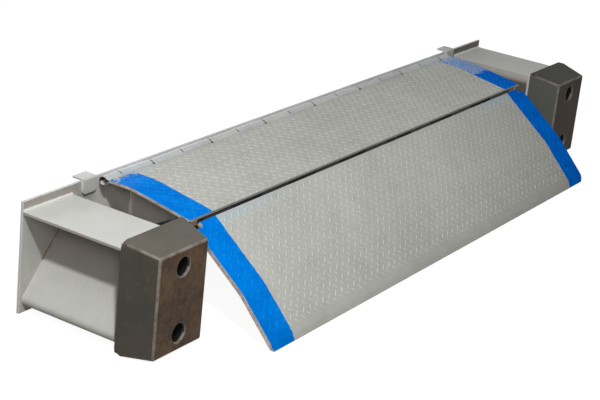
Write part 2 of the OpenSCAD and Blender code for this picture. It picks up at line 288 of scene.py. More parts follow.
lipPaintLook = {"light": (195, 197, 191), "dark": (180, 182, 175), "dirt": 0.28, "chips": 0.11,
                "shine": 0.004, "paintedFalloff": (0.1, 0.7, 242), "stripe": lipStripe}
lipEdgeLook = dict(lipPaintLook, chips=0.28)
weldPaintLook = {"light": (212, 213, 208), "dark": (190, 190, 184), "dirt": 0.2, "chips": 0.12}
# painted highlight: the gusset seams are a whiter grey, so they show light in the shade under the deck
supportWeldLook = {"light": (244, 245, 240), "dark": (228, 228, 222), "dirt": 0.1, "chips": 0.08,
                   "shine": 0.4}
# painted highlight, with worn tops: the lugs are a lighter grey than the plates
lugLook = {"light": (202, 204, 198), "dark": (188, 190, 183), "chips": 0.16, "dirt": 0.12, "shine": 0.012}
deckLugLook = dict(lugLook, stripe=dict(deckStripe, lugs=True))
lipLugLook = dict(lugLook, paintedFalloff=lipPaintLook["paintedFalloff"], stripe=dict(lipStripe, lugs=True))


def paintFinish(name, look):
    f = Finish(name)
    broad = f.noise(2.3, 3)
    cloud = f.noise(17, 6, 0.62)
    grain = f.noise(520, 2)
    drag = f.noise(42, 6, 0.7, (1, 6, 1))
    fleck = f.noise(95, 5, 0.7, shift=(3, 1, 7))
    colour = f.mix(f.ramp(broad * 0.5 + cloud * 0.5, 0.34, 0.66), tone(*look["dark"]), tone(*look["light"]))
    side, height = f.axis(f.place, "X"), f.axis(f.place, "Z")
    uneven = (cloud - 0.5) * 0.05
    if "ends" in look:
        beyond = f.ramp(abs(side) + uneven, wearAndShadeLook["endsFrom"], wearAndShadeLook["endsTo"])
        colour = f.mix(beyond, colour, tone(*look["ends"]))
    grime = f.ramp(cloud * 0.55 + drag * 0.45, 0.50, 0.72) * look["dirt"]
    colour = f.mix(grime, colour, tone(*wearAndShadeLook["dirt"]))
    # painted shade: darker higher up, under the bracket flanges and on the back plate above them
    if "paintedShade" in look:
        colour = f.shade(f.ramp(height + uneven, *look["paintedShade"]), colour, tone(*wearAndShadeLook["paintedShade"]))
    # painted shade: darker towards the right, for the light falling off
    if "paintedFalloff" in look:
        start, end, grey = look["paintedFalloff"]
        colour = f.shade(f.ramp(side, start, end), colour, tone(grey, grey, grey))
    if "stripe" in look:
        colour = stripeOver(f, colour, look["stripe"], cloud, fleck)
    bare = f.ramp(fleck * 0.7 + cloud * 0.3, 0.78 - 0.5 * look["chips"], 0.80 - 0.42 * look["chips"])
    steel = f.mix(f.ramp(grain, 0.4, 0.6), tone(*wearAndShadeLook["steelDark"]), tone(*wearAndShadeLook["steelLight"]))
    colour = f.mix(bare * 0.8, colour, steel)
    rough = 0.40 + 0.22 * cloud + 0.15 * grime + 0.12 * bare
    relief = 0.5 * grain + 0.6 * cloud - 0.5 * bare
    return f.finish(colour, rough, relief, 0.00025, shine=look.get("shine", 0.06))


# blue on the top at both sides: ragged at the rear, stippled thin at the right rear, misted beside it
def stripeOver(f, colour, stripe, cloud, fleck):
    side, along, up = f.axis(f.place, "X"), f.axis(f.place, "Y"), f.axis(f.facing, "Z")
    speck = f.noise(210, 3, 0.75)
    ragged = abs(side) + (fleck - 0.5) * 0.010 + (cloud - 0.5) * 0.006
    cover = f.ramp(ragged, stripe["inner"] - 0.0012, stripe["inner"] + 0.0012)
    if not stripe["lugs"]:  # none on the plate's edges or underside
        cover = cover * f.ramp(up, 0.15, 0.25) * f.ramp(f.axis(f.facing, "Y"), 0.4, 0.3)
    end = f.ramp(along + (fleck - 0.5) * 0.13 + (cloud - 0.5) * 0.05, *stripeLook["rearEnd"])
    thin = f.ramp(along + (cloud - 0.5) * 0.05, stripe["wearLine"] - 0.008, stripe["wearLine"] + 0.008)
    thin = thin * f.ramp(side, 0.0, 0.01) * stripe["wear"]
    gone = f.larger(f.ramp(speck, 0.70, 0.76) * 0.4, thin * (0.10 + 0.64 * f.ramp(speck, 0.46, 0.53)))
    mist = f.ramp(abs(side), stripe["inner"] - stripe["drift"], stripe["inner"] + 0.02)
    mist = mist * f.ramp(speck, 0.36, 0.60) * f.ramp(along, stripe["driftLine"] - 0.03, stripe["driftLine"])
    # painted shade: the right stripe's blues are darker, for the light falling off to the right
    right = f.ramp(side, -0.6, 0.6)
    deep, light = (f.mix(right, tone(*left), tone(*other))
                   for left, other in zip(stripeLook["left"], stripeLook["right"]))
    blue = f.mix(f.ramp(cloud, 0.35, 0.65), deep, light)
    blue = f.mix(thin * 0.4, blue, tone(*stripeLook["thin"]))
    if stripe["lugs"]:  # rubbed paler on the raised tops, with painted highlight
        rubbedAndLit = 0.06 * f.ramp(fleck, 0.3, 0.6) * f.ramp(up, 0.7, 0.95)
        blue = f.mix(rubbedAndLit, blue, tone(*stripeLook["rubbedAndLit"]))
    pale = f.mix(mist * stripe["spray"], colour, tone(*stripeLook["mist"]))
    return f.mix(cover * end * (1 - gone) * stripe["cover"], pale, blue)


def rawFinish(name, light, dark, scale, metal=0.15):  # bare steel, sawn and browned
    f = Finish(name)
    cloud = f.noise(70, 6, 0.65)
    lines = f.noise(300, 3, 0.6, (0.1, 0.1, 1))
    colour = f.mix(f.ramp(cloud, 0.35, 0.65), tone(*dark), tone(*light))
    colour = f.mix(f.ramp(lines, 0.5, 0.7) * 0.5, colour, tone(*scale))
    return f.finish(colour, 0.55 + 0.2 * cloud, cloud + lines, 0.0003, metal, 0.2)


bumperLook = {"x": 1.085, "width": 0.242, "height": 0.302, "baseY": -0.328, "frontY": -0.429,
              "sideIn": 0.026, "topIn": 0.022, "footIn": 0.010, "edgeRound": 0.005, "pocketSize": 0.026,
              "pocketDepth": 0.062, "drill": 0.1, "boltHeights": (0.057, 0.233), "mouthRound": 0.0022,
              "mouthSlack": 2e-4, "rimShade": (0.0025, 0.0005), "wornAndLitTilt": 0.25, "wornAndLitFrom": 0.015,
              "smooth": 32}
bumperCorners = {0.0: (0.009, 0.024), 0.035: (0.0085, 0.022), 0.14: (0.0075, 0.0075), 1.0: (0.0068, 0.0068)}
rubberLook = {"dark": (57, 46, 37), "brown": (106, 86, 67), "run": (106, 90, 74),
              "paleSpeck": (122, 110, 98), "darkSpeck": (42, 36, 31), "pocket": (13, 11, 10),
              "rightShade": (152, 154, 156), "top": (96, 96, 90), "topRight": (60, 61, 57),
              "flank": (65, 65, 60), "flankRight": (92, 94, 88), "scuffAndHighlight": (140, 134, 127)}


def rubberFinish(name, wornAndLit):
    f = Finish(name)
    cloud = f.noise(11, 6, 0.66)
    blot = f.noise(46, 6, 0.72, shift=(5, 2, 1))
    speck = f.noise(330, 3, 0.65)
    run = f.noise(30, 5, 0.6, (1, 1, 0.22))
    tones = {name: tone(*shade) for name, shade in rubberLook.items()}
    colour = f.mix(f.ramp(cloud * 0.6 + blot * 0.4, 0.36, 0.64), tones["dark"], tones["brown"])
    colour = f.mix(f.ramp(run, 0.52, 0.72) * 0.3, colour, tones["run"])
    # painted light and shade: tops and flanks get their own greys for how the light falls on them; the tops
    # are also greyed by dust
    top = f.ramp(f.axis(f.facing, "Z"), 0.55, 0.95)
    flank = f.ramp(abs(f.axis(f.facing, "X")), 0.6, 0.95)
    right = f.ramp(f.axis(f.place, "X"), -0.1, 0.1)  # painted shade: the right one is darker, for the light falling off
    colour = f.shade(right, colour, tones["rightShade"])
    colour = f.mix(top * (0.6 + 0.35 * cloud), colour, f.mix(right, tones["top"], tones["topRight"]))
    colour = f.mix(flank * 0.85, colour, f.mix(right, tones["flank"], tones["flankRight"]))
    colour = f.mix(f.ramp(speck, 0.62, 0.76) * 0.35, colour, tones["paleSpeck"])
    colour = f.mix(f.ramp(speck, 0.42, 0.30) * 0.40, colour, tones["darkSpeck"])
    depth = f.axis(f.place, "Y") - bumperLook["frontY"]  # 0 at the front face
    scuffAndHighlight = f.ramp(blot, 0.60, 0.74) * 0.18
    if wornAndLit:  # rubbed pale along the edges, most at the front, with painted highlight
        scuffAndHighlight = (0.35 + 0.5 * f.ramp(blot, 0.35, 0.6)) * f.ramp(depth, 0.14, 0.0)
    colour = f.mix(scuffAndHighlight, colour, tones["scuffAndHighlight"])
    # painted shade: nearly black inside the bolt pockets
    colour = f.mix(f.ramp(depth, 0.004, 0.010) * pocketShade(f), colour, tones["pocket"])
    return f.finish(colour, 0.62 + 0.2 * blot, 0.8 * blot + 0.5 * speck, 0.0005, shine=0.2)


def pocketShade(f):  # 1 inside the bolt pockets, where painted shade darkens them
    x, z = abs(f.axis(f.place, "X")) - bumperLook["x"], f.axis(f.place, "Z")
    low, high = (z - height for height in bumperLook["boltHeights"])
    near = f.node("ShaderNodeMath", {"operation": "MINIMUM"}, {0: low * low, 1: high * high})
    unshaded, shaded = (bumperLook["pocketSize"] + rim for rim in bumperLook["rimShade"])
    return f.ramp(x * x + near, unshaded ** 2, shaded ** 2)


def steelFinish(name, light, dark, metal):
    f = Finish(name)
    cloud = f.noise(60, 5, 0.6)
    lines = f.noise(420, 3, 0.6, (0.08, 1, 1))
    colour = f.mix(f.ramp(cloud * 0.6 + lines * 0.4, 0.35, 0.65), tone(*dark), tone(*light))
    return f.finish(colour, 0.36 + 0.2 * cloud, lines + cloud, 0.0001, metal, 0.3)


framePaint = paintFinish("framePaint", framePaintLook)
shadeLiftPaint = paintFinish("shadeLiftPaint", shadeLiftPaintLook)
insidePaint = paintFinish("insidePaint", insidePaintLook)
bayPaint = paintFinish("bayPaint", bayPaintLook)
supportPaint = paintFinish("supportPaint", supportPaintLook)
frameEdge = paintFinish("frameEdge", frameEdgeLook)
weldPaint = paintFinish("weldPaint", weldPaintLook)
supportWeld = paintFinish("supportWeld", supportWeldLook)
hingePaint = paintFinish("hingePaint", hingePaintLook)
deckPaint = paintFinish("deckPaint", deckPaintLook)
deckEdge = paintFinish("deckEdge", deckEdgeLook)
lipPaint = paintFinish("lipPaint", lipPaintLook)
lipEdge = paintFinish("lipEdge", lipEdgeLook)
deckLugPaint = paintFinish("deckLugPaint", deckLugLook)
lipLugPaint = paintFinish("lipLugPaint", lipLugLook)
rawEdge = rawFinish("rawEdge", (210, 198, 186), (176, 160, 146), (122, 108, 96))
rawToe = rawFinish("rawToe", (160, 147, 134), (118, 102, 90), (80, 68, 60))
rawDarkAndShade = rawFinish("rawDarkAndShade", (74, 60, 50), (42, 34, 29), (28, 23, 20))
rubber = rubberFinish("rubber", False)
rubberWornAndLit = rubberFinish("rubberWornAndLit", True)
zinc = steelFinish("zinc", (104, 100, 92), (62, 58, 52), 0.85)
# greasy dark steel, also painted shade: nearly black so the lip hinge gap shows black
greasyShadeSteel = steelFinish("greasyShadeSteel", (50, 47, 44), (28, 26, 24), 0.3)
print("finishes mixed")


# plain frame pieces: the solid with broken edges

straightOn = 0.9  # part of a normal past which a face looks along that axis
edgeFinish, bareFinish = 1, 2  # places in a piece's list of finishes
frameSheets = {
    "back_plate": ("backPlate", 0.0012), "left_hanger_tab": ("leftHangerTab", 0.0009),
    "right_hanger_tab": ("rightHangerTab", 0.0009), "left_deck_support": ("leftDeckSupport", 0.001),
    "right_deck_support": ("rightDeckSupport", 0.001), "left_bumper_bracket": ("leftBumperBracket", 0.001),
    "right_bumper_bracket": ("rightBumperBracket", 0.001), "left_bumper_plate": ("leftBumperPlate", 0.0009),
    "right_bumper_plate": ("rightBumperPlate", 0.0009),
}
sheetLook = {"bayEdge": 0.99, "flangeHeight": 0.27, "hingeTilt": 0.2}
sheetSlots = {"paint": 0, "edge": edgeFinish, "inside": 2, "bay": 3, "hinge": 4, "shade": 5}


def sheetSlot(nodeName, face):  # painted shade, with some dust: darker paint inside the brackets and behind them; painted light: a lighter grey on the back plate's face under the deck
    plain = face.material_index == sheetSlots["paint"]
    if nodeName == "back_plate":
        inBay = abs(face.center.x) > sheetLook["bayEdge"]
        if face.normal.z > sheetLook["hingeTilt"] and not inBay:
            return "hinge"
        if plain and face.normal.y < -straightOn:
            return "bay" if inBay else "shade"
    flangeTop = face.normal.z > straightOn and face.center.z > sheetLook["flangeHeight"]
    if plain and "bracket" in nodeName and not flangeTop:
        return "inside"
    return "paint" if plain else "edge"


for nodeName, (pieceName, width) in frameSheets.items():
    sheet = copySolid(nodeName, pieceName)
    if nodeName == "back_plate":  # parted where the bracket bays end, so that their painted shade and dirt can stop there
        for x in (-sheetLook["bayEdge"], sheetLook["bayEdge"]):
            editAll(sheet)
            bpy.ops.mesh.bisect(plane_co=(x, 0, 0), plane_no=(1, 0, 0))
            doneEditing()
    # painted light: a lighter grey for the supports in the shade under the deck
    paint = supportPaint if "support" in nodeName else framePaint
    paintWith(sheet, paint, frameEdge, insidePaint, bayPaint, hingePaint, shadeLiftPaint)
    softenEdges(sheet, width, 2, 40, edgeFinish)
    for face in sheet.data.polygons:
        face.material_index = sheetSlots[sheetSlot(nodeName, face)]
    settle(sheet, "frame", "grey_paint", nodeName)
print("frame sheets done")


# hinge knuckles and pins

rearHingeLook = {"axis": (-0.027, 0.294), "boreSize": 0.011, "litBelow": -0.002, "bareWithin": 0.91,
                 "bareTilt": 0.4, "edge": 0.0007}
rearHinge = {"fixed_rear_knuckles": ("fixedRearKnuckles", "frame"),
             "moving_rear_knuckles": ("movingRearKnuckles", "deck")}
for nodeName, (pieceName, body) in rearHinge.items():
    knuckles = copySolid(nodeName, pieceName)
    paintWith(knuckles, hingePaint, frameEdge, rawDarkAndShade)
    softenEdges(knuckles, rearHingeLook["edge"], 2, 40, edgeFinish)
    for face in knuckles.data.polygons:  # bare ends, save the two outermost; the bores are painted dark above as painted shade, their lit half below keeps the paint
        y, z = face.center.y - rearHingeLook["axis"][0], face.center.z - rearHingeLook["axis"][1]
        bore = face.normal.y * y + face.normal.z * z < 0 and math.hypot(y, z) < rearHingeLook["boreSize"]
        bareEnd = abs(face.normal.x) > rearHingeLook["bareTilt"]
        bareEnd = bareEnd and abs(face.center.x) < rearHingeLook["bareWithin"]
        if bore and z > rearHingeLook["litBelow"] or bareEnd:
            face.material_index = bareFinish
    settle(knuckles, body, "grey_paint", nodeName)

# painted shade, with grease: the lip hinge knuckles are nearly black, so the gap between deck and lip shows
# black
lipHingeLook = {"toeX": -0.886, "toeY": -0.306, "bareX": 0.853, "edge": 0.0005}
lipHinge = {"deck_front_knuckles": ("deckFrontKnuckles", "deck"), "lip_knuckles": ("lipKnuckles", "lip")}
for nodeName, (pieceName, body) in lipHinge.items():
    knuckles = copySolid(nodeName, pieceName)
    paintWith(knuckles, greasyShadeSteel, rawToe)
    softenEdges(knuckles, lipHingeLook["edge"], 2, 40)
    for face in knuckles.data.polygons:  # the left toe and the right end are rubbed bare
        leftToe = face.center.x < lipHingeLook["toeX"] and face.center.y < lipHingeLook["toeY"]
        face.material_index = int(leftToe or face.center.x > lipHingeLook["bareX"])
    settle(knuckles, body, "grey_paint", nodeName)

pinEdge = 0.0015
hingePins = {"rear_hinge_pin": ("rearHingePin", "frame", rawDarkAndShade),
             "lip_hinge_pin": ("lipHingePin", "deck", greasyShadeSteel)}
for nodeName, (pieceName, body, steel) in hingePins.items():
    pin = copySolid(nodeName, pieceName)
    paintWith(pin, steel)
    softenEdges(pin, pinEdge, 2, 40)
    settle(pin, body, "pin_steel", nodeName)
print("hinges done")


# deck and lip plates

plateLook = {"edge": 0.0008, "shortest": 0.001}


def platePiece(nodeName, pieceName, body, paint, edge):
    plate = copySolid(nodeName, pieceName)
    editAll(plate)
    bpy.ops.mesh.remove_doubles(threshold=plateLook["shortest"])  # one nose edge is too short to soften
    doneEditing()
    paintWith(plate, paint, edge, rawEdge)
    softenEdges(plate, plateLook["edge"], 2, 25, edgeFinish)
    for face in plate.data.polygons:  # bare cut sides
        if abs(face.normal.x) > straightOn:
            face.material_index = bareFinish
    settle(plate, body, "deck_paint", nodeName)


platePiece("deck_plate", "deckPlate", "deck", deckPaint, deckEdge)
platePiece("lip_plate", "lipPlate", "lip", lipPaint, lipEdge)
print("plates done")


# raised tread: one lentil, copied over each plate

treadLook = {"length": 0.022, "width": 0.0062, "rise": 0.0013, "sink": 0.0003, "pitch": 0.0305,
             "halfWidth": 0.905, "margin": 0.004, "cut": 0.01, "smooth": 50}
deckPath = {"start": (-0.046, 0.303), "slope": 0.0, "runs": (0.055, 0.172), "fold": 9.5, "bend": 0.248,
            "from": 0.012, "to": 0.262}
lipPath = {"axis": (-0.299478, 0.253464), "edge": 0.012, "drop": 0.0195, "runs": (0.198, 0.149), "fold": 9.0,
           "bend": 0.212, "thick": 0.012, "from": 0.014, "to": 0.353}


def lipStart(path):  # slope at which the nose rests on the floor, then the lip's rear top edge
    fold = math.radians(path["fold"])
    reach = path["edge"] + path["runs"][0] + path["bend"] * math.sin(fold)
    reach += path["runs"][1] * math.cos(fold) - path["thick"] * math.sin(fold)
    level = path["drop"] - path["bend"] * (1 - math.cos(fold)) - path["runs"][1] * math.sin(fold)
    level -= path["thick"] * math.cos(fold)
    slope = math.atan2(level, reach) + math.asin(path["axis"][1] / math.hypot(reach, level))
    y = path["axis"][0] - path["edge"] * math.cos(slope) - path["drop"] * math.sin(slope)
    z = path["axis"][1] - path["edge"] * math.sin(slope) + path["drop"] * math.cos(slope)
    return (y, z), slope


def onPlate(path, start, slope, run):  # point and slope on the top face, so far from the rear edge
    fold, bend = math.radians(path["fold"]), path["bend"]
    y, z = start
    first = min(run, path["runs"][0])
    y, z = y - first * math.cos(slope), z - first * math.sin(slope)
    turn = min(max(run - path["runs"][0], 0.0) / bend, fold)
    y -= bend * (math.sin(slope + turn) - math.sin(slope))
    z -= bend * (math.cos(slope) - math.cos(slope + turn))
    rest = max(run - path["runs"][0] - bend * fold, 0.0)
    return y - rest * math.cos(slope + turn), z - rest * math.sin(slope + turn), slope + turn


def treadLentil():
    bpy.ops.object.select_all(action="DESELECT")
    bpy.ops.mesh.primitive_uv_sphere_add(segments=12, ring_count=6, radius=1)
    lentil = justAdded("treadLentil")
    editAll(lentil)
    bpy.ops.mesh.bisect(plane_co=(0, 0, treadLook["cut"]), plane_no=(0, 0, 1), use_fill=True,
                        clear_inner=True)
    bpy.ops.mesh.select_all(action="SELECT")
    bpy.ops.transform.resize(value=(treadLook["length"] / 2, treadLook["width"] / 2,
                                    treadLook["rise"] + treadLook["sink"]), center_override=(0, 0, 0))
    doneEditing()
    return lentil


def meshArrays(piece):
    points = np.array([v.co for v in piece.data.vertices])
    return points, [list(f.vertices) for f in piece.data.polygons]


def manyOf(name, piece, places):  # one joined mesh with a copy at each matrix
    points, faces = meshArrays(piece)
    count = len(points)
    allPoints = [points @ np.array(place.to_3x3()).T + np.array(place.translation) for place in places]
    allFaces = [[corner + count * i for corner in face] for i in range(len(places)) for face in faces]
    mesh = bpy.data.meshes.new(name)
    mesh.from_pydata(np.concatenate(allPoints).tolist(), [], allFaces)
    made = bpy.data.objects.new(name, mesh)
    bpy.context.collection.objects.link(made)
    return made


def layTread(name, lentil, path, start, slope, body, paint):
    pitch = treadLook["pitch"]
    columns = int(treadLook["halfWidth"] / pitch)
    rows = int((path["to"] - path["from"]) / pitch)
    places = []
    for turn, shift in ((45, 0.0), (-45, 0.5)):
        for row in range(rows + 1):
            for column in range(-columns, columns + 1):
                x = (column + shift) * pitch
                run = path["from"] + treadLook["margin"] + (row + shift) * pitch
                if abs(x) > treadLook["halfWidth"] or run > path["to"]:
                    continue
                y, z, tilt = onPlate(path, start, slope, run)
                lean = Matrix.Rotation(tilt, 4, "X") @ Matrix.Rotation(math.radians(turn), 4, "Z")
                up = Vector((0, -math.sin(tilt), math.cos(tilt)))
                places.append(Matrix.Translation(Vector((x, y, z)) - up * treadLook["sink"]) @ lean)
    tread = manyOf(name, lentil, places)
    paintWith(tread, paint)
    smoothBy(tread, treadLook["smooth"])
    settle(tread, body, "deck_paint")
    print(name, len(places), "lugs")


lentil = treadLentil()
layTread("deckTread", lentil, deckPath, deckPath["start"], deckPath["slope"], "deck", deckLugPaint)
lipTop, lipSlope = lipStart(lipPath)
layTread("lipTread", lentil, lipPath, lipTop, lipSlope, "lip", lipLugPaint)
bpy.data.objects.remove(lentil)


# rubber bumpers: rounded outlines bridged, front edge rounded, pockets bored

alongY = (math.pi / 2, 0, 0)  # lays a primitive's axis front to back


def edgesAt(y, slack=1e-5):  # a test for the edges that lie at one depth
    return lambda a, b: max(abs(a.y - y), abs(b.y - y)) < slack


def bumperOutline(side, part):  # outline at a part of the depth, with its inner and outer corners
    look = bumperLook
    y = look["baseY"] + part * (look["frontY"] - look["baseY"])
    low, high = part * look["footIn"], look["height"] - part * look["topIn"]
    bpy.ops.object.select_all(action="DESELECT")
    middle = (side * look["x"], y, (low + high) / 2)
    bpy.ops.mesh.primitive_plane_add(size=1, location=middle, rotation=alongY)
    bpy.context.active_object.scale = (look["width"] - 2 * part * look["sideIn"], high - low, 1)
    outline = justAdded("outline")
    for outer, corner in enumerate(bumperCorners[part]):
        chooseCorners(outline, lambda point: (abs(point.x) > look["x"]) == bool(outer))
        bpy.ops.mesh.bevel(offset=corner, segments=6, affect="VERTICES")
        doneEditing()
    editAll(outline)
    bpy.ops.mesh.delete(type="ONLY_FACE")
    doneEditing()
    return outline


def makeBumper(side, pieceName, nodeName):
    look = bumperLook
    x = side * look["x"]
    bumper = joinAll([bumperOutline(side, part) for part in bumperCorners], pieceName)
    paintWith(bumper, rubber, rubberWornAndLit)
    chooseEdges(bumper, lambda a, b: True)
    bpy.ops.mesh.bridge_edge_loops()
    for level in (look["baseY"], look["frontY"]):
        bpy.ops.object.mode_set(mode="OBJECT")
        chooseEdges(bumper, edgesAt(level))
        bpy.ops.mesh.edge_face_add()
    bpy.ops.mesh.select_all(action="SELECT")
    bpy.ops.mesh.normals_make_consistent(inside=False)
    doneEditing()
    chooseEdges(bumper, edgesAt(look["frontY"]))
    bpy.ops.mesh.bevel(offset=look["edgeRound"], segments=4, affect="EDGES", material=edgeFinish)
    doneEditing()
    borePockets(bumper, x)
    for face in bumper.data.polygons:  # the long edges get the worn finish too, rubbed pale with painted highlight
        slanted = min(abs(face.normal.x), abs(face.normal.z)) > look["wornAndLitTilt"]
        if slanted and face.center.y < look["baseY"] - look["wornAndLitFrom"]:
            face.material_index = edgeFinish
    smoothBy(bumper, look["smooth"])
    bpy.ops.object.modifier_add(type="WEIGHTED_NORMAL")  # the wide faces stay flat beside their rounded edges
    bumper.modifiers[-1].keep_sharp = True
    bpy.ops.object.modifier_apply(modifier=bumper.modifiers[-1].name)
    settle(bumper, "frame", "bumper_rubber", nodeName)


def borePockets(bumper, x):
    look = bumperLook
    floor = look["frontY"] + look["pocketDepth"]
    drills = []
    for height in look["boltHeights"]:
        bpy.ops.object.select_all(action="DESELECT")
        bpy.ops.mesh.primitive_cylinder_add(vertices=40, radius=look["pocketSize"], depth=look["drill"],
                                            location=(x, floor - look["drill"] / 2, height), rotation=alongY)
        drills.append(justAdded("drill"))
    drill = joinAll(drills, "drill")
    pick(bumper)
    bpy.ops.object.modifier_add(type="BOOLEAN")
    cut = bumper.modifiers[-1]
    cut.operation = "DIFFERENCE"
    cut.object = drill
    bpy.ops.object.modifier_apply(modifier=cut.name)
    bpy.data.objects.remove(drill)

    def onMouth(a, b):
        for point in (a, b):
            rings = [math.hypot(point.x - x, point.z - height) for height in look["boltHeights"]]
            away = min(abs(ring - look["pocketSize"]) for ring in rings)
            if max(away, abs(point.y - look["frontY"])) > look["mouthSlack"]:
                return False
        return True
    chooseEdges(bumper, onMouth)
    bpy.ops.mesh.bevel(offset=look["mouthRound"], segments=3, affect="EDGES", material=edgeFinish)
    doneEditing()


makeBumper(-1, "leftBumper", "left_bumper")
makeBumper(1, "rightBumper", "right_bumper")
print("bumpers done")


# bumper bolts: washer, chamfered head, nut and thread

boltLook = {"floorY": -0.367, "backY": -0.320, "washer": (0.022, 0.004), "washerEdge": 0.0006, "hex": 0.017,
            "hexEdge": 0.0014, "head": 0.013, "nut": 0.016, "shank": 0.010, "root": 0.9, "collar": 0.002,
            "threadEnd": 0.006, "threadPitch": 0.0025, "smooth": 40}


def boltDisc(name, corners, size, y, depth, chamfer):
    bpy.ops.object.select_all(action="DESELECT")
    bpy.ops.mesh.primitive_cylinder_add(vertices=corners, radius=size, depth=depth,
                                        location=(0, y - depth / 2, 0), rotation=alongY)
    disc = justAdded(name)
    softenEdges(disc, chamfer, 2, 70)
    return disc


def threadedShank():
    look = boltLook
    bpy.ops.object.select_all(action="DESELECT")
    middle = look["floorY"] + look["collar"] / 2
    bpy.ops.mesh.primitive_cylinder_add(vertices=20, radius=look["shank"] * look["root"],
                                        depth=look["collar"], location=(0, middle, 0), rotation=alongY)
    shank = justAdded("shank")
    chooseFaces(shank, lambda face: face.normal.y > straightOn)
    length = look["backY"] + look["nut"] + look["threadEnd"] - look["floorY"] - look["collar"]
    turns = int(length / look["threadPitch"])
    for step in range(2 * turns):  # in and out for each turn of the thread
        grow = 1 / look["root"] if step % 2 == 0 else look["root"]
        bpy.ops.mesh.extrude_region_move(TRANSFORM_OT_translate={"value": (0, length / turns / 2, 0)})
        bpy.ops.transform.resize(value=(grow, 1, grow))
    doneEditing()
    return shank


def makeBolts(side, pieceName, nodeName):
    look = boltLook
    washerSize, washerDepth = look["washer"]
    headY, nutY = look["floorY"] - washerDepth, look["backY"] + look["nut"]
    one = joinAll([
        boltDisc("washer", 36, washerSize, look["floorY"], washerDepth, look["washerEdge"]),
        boltDisc("head", 6, look["hex"], headY, look["head"], look["hexEdge"]),
        boltDisc("nut", 6, look["hex"], nutY, look["nut"], look["hexEdge"]),
        threadedShank(),
    ], "oneBolt")
    places = [Matrix.Translation((side * bumperLook["x"], 0, height)) for height in bumperLook["boltHeights"]]
    bolts = manyOf(pieceName, one, places)
    bpy.data.objects.remove(one)
    paintWith(bolts, zinc)
    smoothBy(bolts, look["smooth"])
    settle(bolts, "frame", "pin_steel", nodeName)


makeBolts(-1, "leftBumperBolts", "left_bumper_bolts")
makeBolts(1, "rightBumperBolts", "right_bumper_bolts")
print("bolts done")


# weld beads: one ripple, laid along each seam

weldLook = {"step": 0.58, "squash": 0.72, "lean": 30, "leanSpread": (0.7, 1.3), "wobble": 0.2, "sway": 0.6,
            "smooth": 60}
beadSize = {"flange": 0.005, "web": 0.0042, "foot": 0.0042, "bareWeb": 0.003, "support": 0.0062,
            "tab": 0.002, "strap": 0.0032, "deckRear": 0.0028, "deckFront": 0.003, "leafEnd": 0.0034,
            "leafSide": 0.003}
hingeLook = {"knuckles": 15, "pitch": 0.1310769, "half": 0.914, "end": 0.062, "gap": 0.0015}


def weldRipple():
    bpy.ops.object.select_all(action="DESELECT")
    bpy.ops.mesh.primitive_uv_sphere_add(segments=8, ring_count=6, radius=1)
    ripple = justAdded("weldRipple")
    editAll(ripple)
    bpy.ops.transform.resize(value=(weldLook["squash"], 1, 1))
    doneEditing()
    return ripple


def seam(start, end, size):  # a ripple every step along the seam, each a little off
    start, end = Vector(start), Vector(end)
    way = (end - start).normalized()
    turn = way.to_track_quat("X", "Z").to_matrix().to_4x4()
    count = max(2, round((end - start).length / (size * weldLook["step"])))
    places = []
    for i in range(count):
        spot = start.lerp(end, (i + 0.5) / count)
        off = Vector([dice.uniform(-1, 1) * size * weldLook["wobble"] * weldLook["sway"] for _ in range(3)])
        grow = size * (1 + dice.uniform(-1, 1) * weldLook["wobble"])
        lean = weldLook["lean"] * dice.uniform(*weldLook["leanSpread"])
        lean = Matrix.Rotation(math.radians(lean), 4, "Y")
        places.append(Matrix.Translation(spot + off) @ turn @ lean @ Matrix.Scale(grow, 4))
    return places


def layWelds(name, ripple, runs, body, slotName, paint):
    places = [place for run in runs for place in seam(*run)]
    welds = manyOf(name, ripple, places)
    paintWith(welds, paint)
    smoothBy(welds, weldLook["smooth"])
    settle(welds, body, slotName)
    print(name, len(places), "ripples")


def knuckleSpan(i):  # first and last X of a hinge knuckle
    pitch, half, end, gap = (hingeLook[key] for key in ("pitch", "half", "end", "gap"))
    first = -half if i == 0 else -half + end + (i - 1) * pitch + gap
    last = half if i == hingeLook["knuckles"] - 1 else -half + end + i * pitch - gap
    return first, last


bracketLook = {"faceY": -0.008, "frontY": -0.320, "top": 0.279, "foot": 0.026, "outer": 1.190,
               "topEnd": 1.014, "webTop": (1.0022, 0.2494), "webFoot": (1.1757, 0.0424),
               "footStart": 1.166, "footEnd": 1.000, "bareEnd": 0.62, "thick": 0.008}


def onWeb(side, part, y, lift=0.0):  # a point so far down a bracket's web and so far out from its inner face
    start, end = Vector(bracketLook["webTop"]), Vector(bracketLook["webFoot"])
    way = (end - start).normalized()
    x, z = start.lerp(end, part) + lift * Vector((-way.y, way.x))
    return side * x, y, z


def bracketSeams(side):
    look = bracketLook
    runs = []
    for y in (look["faceY"], look["frontY"]):
        runs.append(((side * look["outer"], y, look["top"]), (side * look["topEnd"], y, look["top"]),
                     beadSize["flange"]))
        runs.append((onWeb(side, 0, y), onWeb(side, 1, y), beadSize["web"]))
        runs.append(((side * look["footStart"], y, look["foot"]), (side * look["footEnd"], y, look["foot"]),
                     beadSize["foot"]))
    return runs


def bareSeam(side):  # unpainted upper part of the seam on the web's outer face
    y, lift = bracketLook["faceY"], bracketLook["thick"]
    return onWeb(side, 0, y, lift), onWeb(side, bracketLook["bareEnd"], y, lift), beadSize["bareWeb"]


def uprightSeam(look, x, size):  # up the back plate's face
    return (x, look["faceY"], look["low"]), (x, look["faceY"], look["high"]), size


